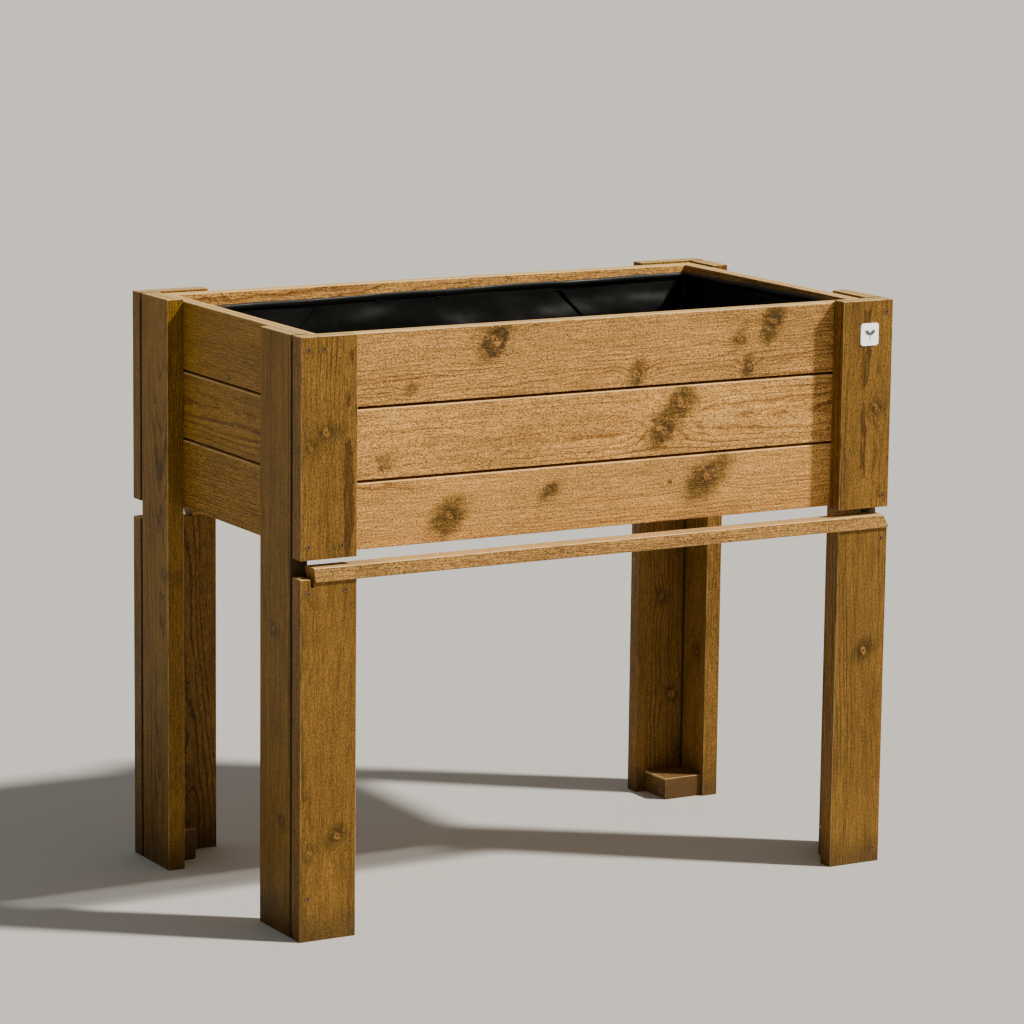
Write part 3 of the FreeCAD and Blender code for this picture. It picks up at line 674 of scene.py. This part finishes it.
def tub_mesh():
    """Five sheets that meet at the edges of the lined space; returns places, vertices and faces."""
    places = {}

    def vertex(i, j, k):
        return places.setdefault((i, j, k), len(places))

    faces = []
    for i in range(COLUMNS):
        for j in range(ROWS):
            faces.append((vertex(i, j, 0), vertex(i + 1, j, 0), vertex(i + 1, j + 1, 0), vertex(i, j + 1, 0)))
    for k in range(LEVELS):
        for j, turn in ((0, 1), (ROWS, -1)):
            for i in range(COLUMNS):
                ring = [vertex(i, j, k), vertex(i, j, k + 1), vertex(i + 1, j, k + 1), vertex(i + 1, j, k)]
                faces.append(tuple(ring[::turn]))
        for i, turn in ((0, -1), (COLUMNS, 1)):
            for j in range(ROWS):
                ring = [vertex(i, j, k), vertex(i, j, k + 1), vertex(i, j + 1, k + 1), vertex(i, j + 1, k)]
                faces.append(tuple(ring[::turn]))
    vertices = []
    for i, j, k in places:
        x = (2 * i / COLUMNS - 1) * HALF_X
        y = (2 * j / ROWS - 1) * HALF_Y
        vertices.append(Vector((x, y, LINER_FLOOR + k / LEVELS * (top_edge(x, y) - LINER_FLOOR))))
    return places, vertices, faces


def bridged(a, b, radius):
    """Two distances from the walls of an edge, moved on to an arc that bridges it."""
    if a >= radius or b >= radius:
        return a, b
    reach = math.hypot(radius - a, radius - b)
    return radius - (radius - a) * radius / reach, radius - (radius - b) * radius / reach


def first_shape(place, chance):
    """A point of the tub once its edges are rounded and the spare height bellies inward."""
    x, y, z = place
    rise = rise_of(x, y, z)
    from_x = HALF_X - abs(x)
    from_y = HALF_Y - abs(y)
    up = z - LINER_FLOOR
    spare = max(0.0, rise - FLAT_BELOW) / (1 - FLAT_BELOW)
    along = x if from_y < from_x else y
    drift = 5 * along + 1.3 * math.sin(7 * along)
    strength = 0.35 + 0.65 * math.sin(1.7 * drift + 0.8) ** 2
    roll = math.sin(ROLL_TURNS * spare + 1.1 * math.sin(1.3 * drift))
    belly = ROLL_DEPTH * strength * math.sqrt(spare) * (1 - spare ** 8) * (0.75 + roll)
    belly += chance.uniform(-1, 1) * 0.0003
    if from_y < ON_WALL:
        from_y += max(0.0, belly)
    elif from_x < ON_WALL:
        from_x += max(0.0, belly)
    else:
        up += abs(chance.gauss(0, 1)) * 0.0006
    corner = CORNER_ROUND * (1 - rise) + 0.002
    from_x, from_y = bridged(from_x, from_y, corner)
    from_x, up = bridged(from_x, up, FLOOR_ROUND)
    from_y, up = bridged(from_y, up, FLOOR_ROUND)
    return Vector((math.copysign(HALF_X - from_x, x), math.copysign(HALF_Y - from_y, y), LINER_FLOOR + up))


def cut_shape(place):
    """The same point on the sheet as it was cut, with its spare height and floor."""
    x, y, z = place
    spare = max(0.0, rise_of(x, y, z) - FLAT_BELOW) / (1 - FLAT_BELOW)
    return Vector((x * (1 + FLOOR_SLACK), y * (1 + FLOOR_SLACK), z + LINER_SLACK * spare))


def held_points(places, chance):
    """The stapled edge, the foot of the walls and a few points of the floor stay where they are."""
    held = []
    for (_, _, k), index in places.items():
        at_rest = 0 < k < FLAT_BELOW * LEVELS * HELD_BELOW
        if k == LEVELS or at_rest or (k == 0 and chance.random() < FLOOR_HELD):
            held.append(index)
    return held


def run_cloth(tub, flat, held):
    """Let the sheet move from its first shape towards the size that it was cut to."""
    tub.vertex_groups.new(name="held").add(held, 1.0, "REPLACE")
    tub.shape_key_add(name="first")
    cut = tub.shape_key_add(name="cut")
    for point, place in zip(cut.data, flat):
        point.co = cut_shape(place)
    cloth = tub.modifiers.new("cloth", "CLOTH")
    for key, value in SHEET_CLOTH.items():
        setattr(cloth.settings, key, value)
    cloth.settings.vertex_group_mass = "held"
    cloth.settings.rest_shape_key = cut
    cloth.settings.effector_weights.gravity = 0.0
    cloth.collision_settings.use_collision = False
    scene = bpy.context.scene
    for step in range(1, SETTLE_STEPS + 1):
        scene.frame_set(step)
    settled = tub.evaluated_get(bpy.context.evaluated_depsgraph_get())
    coordinates = [vertex.co.copy() for vertex in settled.data.vertices]
    tub.modifiers.remove(cloth)
    scene.frame_set(1)
    tub.shape_key_clear()
    tub.vertex_groups.clear()
    for vertex, place in zip(tub.data.vertices, coordinates):
        vertex.co = place


def settle(tub, places):
    """Settle the rolls of the spare sheet under its stapled edge, then press it to the planks."""
    chance = random.Random(11)
    flat = [vertex.co.copy() for vertex in tub.data.vertices]
    for vertex, place in zip(tub.data.vertices, flat):
        vertex.co = first_shape(place, chance)
    run_cloth(tub, flat, held_points(places, chance))
    for vertex in tub.data.vertices:
        vertex.co.x = max(-HALF_X, min(HALF_X, vertex.co.x))
        vertex.co.y = max(-HALF_Y, min(HALF_Y, vertex.co.y))
        vertex.co.z = max(LINER_FLOOR, vertex.co.z)


def apply_modifiers(made):
    """Bake the modifiers of a piece into its mesh."""
    baked = bpy.data.meshes.new_from_object(made.evaluated_get(bpy.context.evaluated_depsgraph_get()))
    made.modifiers.clear()
    made.data = baked


def thicken(made, gauge, offset):
    """Round a sheet piece, give it its thickness and its material, and put it on the planter."""
    rounding = made.modifiers.new("round", "SUBSURF")
    rounding.levels = 1
    rounding.render_levels = 1
    skin = made.modifiers.new("gauge", "SOLIDIFY")
    skin.thickness = gauge
    skin.offset = offset
    apply_modifiers(made)
    made.data.materials.append(liner_material())
    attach(made, "root")


def make_liner():
    """The liner: a settled sheet, its folded corners and its hem, in place of the CAD liner."""
    places, vertices, faces = tub_mesh()
    tub = new_object("liner_sheet", vertices, faces)
    settle(tub, places)
    folds = make_corner_folds(tub, places)
    hem = make_hem()
    thicken(tub, LINER_GAUGE, 1.0)
    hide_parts("liner")


def wall_point(tub, places, sign_x, sign_y, away, rise):
    """A point of the settled long wall, at a distance from its upright corner."""
    column = away / (2 * HALF_X) * COLUMNS
    level = min(rise * LEVELS, LEVELS - 1e-4)
    i, k = int(column), int(level)
    j = ROWS if sign_y > 0 else 0
    total = Vector((0.0, 0.0, 0.0))
    for di, share_i in ((0, 1 - column + i), (1, column - i)):
        for dk, share_k in ((0, 1 - level + k), (1, level - k)):
            column_at = i + di if sign_x < 0 else COLUMNS - i - di
            total += tub.data.vertices[places[column_at, j, k + dk]].co * share_i * share_k
    return total


def make_corner_folds(tub, places):
    """The spare corner of the sheet, folded to a triangle and laid on the long wall at each corner."""
    across, upward = FOLD_GRID
    vertices = []
    faces = []
    for sign_x in (-1, 1):
        for sign_y in (-1, 1):
            base = len(vertices)
            for row in range(upward + 1):
                rise = FOLD_FOOT + (FOLD_HEAD - FOLD_FOOT) * row / upward
                for column in range(across + 1):
                    share = column / across
                    away = FOLD_START + share * rise * WALL_HEIGHT * FOLD_REACH
                    place = wall_point(tub, places, sign_x, sign_y, away, rise)
                    place.y -= sign_y * FOLD_LIFT * (1 - FOLD_TAPER * share)
                    vertices.append(place)
            for row in range(upward):
                for column in range(across):
                    start = base + row * (across + 1) + column
                    ring = (start, start + 1, start + across + 2, start + across + 1)
                    faces.append(ring if sign_x == sign_y else ring[::-1])
    folds = new_object("liner_corner_folds", vertices, faces)
    thicken(folds, FOLD_GAUGE, 0.0)
    return folds


def rim_path():
    """Points round the top of the lined space."""
    corners = [(-HALF_X, -HALF_Y), (HALF_X, -HALF_Y), (HALF_X, HALF_Y), (-HALF_X, HALF_Y)]
    path = []
    for (ax, ay), (bx, by) in zip(corners, corners[1:] + corners[:1]):
        for step in range(RIM_STEPS):
            share = step / RIM_STEPS
            path.append((ax + (bx - ax) * share, ay + (by - ay) * share))
    return path


def make_hem():
    """The folded top edge of the liner: a flat double strip that runs round the rim."""
    section = [(0.0, 0.0), (0.0, 0.8), (0.35, 1.0), (0.65, 1.0), (1.0, 0.8), (1.0, 0.05), (0.7, 0.0)]
    vertices = []
    faces = []
    path = rim_path()
    for x, y in path:
        lift = top_edge(x, y)
        over_fold = min(1.0, max(0.0, (WALL_HEIGHT * FOLD_REACH - HALF_X + abs(x)) / HEM_FOLD_RAMP))
        for depth, height in section:
            inset = depth * HEM_THICKNESS * (1 + HEM_OVER_FOLD * over_fold)
            px = math.copysign(HALF_X - inset, x) if HALF_X - abs(x) < ON_WALL else x
            py = math.copysign(HALF_Y - inset, y) if HALF_Y - abs(y) < ON_WALL else y
            vertices.append((px, py, lift - HEM_HEIGHT * (1 - height) + HEM_ABOVE))
    count = len(section)
    for step in range(len(path)):
        after = (step + 1) % len(path)
        for side in range(count):
            other = (side + 1) % count
            here = step * count
            there = after * count
            faces.append((here + side, there + side, there + other, here + other))
    hem = new_object("liner_hem", vertices, faces)
    hem.data.materials.append(liner_material())
    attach(hem, "root")
    return hem


def liner_material():
    """Black woven plastic: a fine weave, dusty patches and a soft sheen."""
    if "liner_weave" in bpy.data.materials:
        return bpy.data.materials["liner_weave"]
    material, graph, shader, place = new_material("liner_weave")
    normal = graph.add("ShaderNodeNewGeometry").outputs["True Normal"]
    thread = 2 * math.pi / THREAD_PITCH
    waves = [graph.math("SINE", graph.math("MULTIPLY", axis, thread)) for axis in graph.split(place)]
    facing = graph.split(graph.vector("ABSOLUTE", normal))
    weave = 0.0
    for axis in range(3):
        crossing = graph.math("MULTIPLY", waves[(axis + 1) % 3], waves[(axis + 2) % 3])
        weave = graph.math("MULTIPLY_ADD", crossing, facing[axis], weave)
    upward = graph.smooth(graph.split(normal)[2], -0.05, 0.45)
    dust = graph.smooth(graph.noise(place, 13.0, 5.0, 0.65), 0.34, 0.80)
    dust = graph.math("MULTIPLY", dust, graph.math("MULTIPLY_ADD", upward, 0.25, 0.45))
    specks = graph.smooth(graph.noise(place, 620.0, 2.0, 0.7), 0.48, 0.72)
    colour = graph.mix(dust, (0.0030, 0.0033, 0.0027), (0.019, 0.020, 0.019))
    colour = graph.mix(graph.math("MULTIPLY", specks, 0.22), colour, (0.030, 0.031, 0.030))
    roughness = graph.math("MULTIPLY_ADD", dust, 0.15, 0.36)
    crumple = graph.noise(place, 26.0, 3.0, 0.55)
    height = graph.math("MULTIPLY_ADD", weave, 0.10, graph.math("MULTIPLY", crumple, 1.2))
    finish_surface(graph, shader, colour, roughness, height, 0.60, 0.0020)
    shader.inputs["Specular IOR Level"].default_value = 0.27
    return material


dress_nodes()
make_liner()
make_camera()
make_studio()
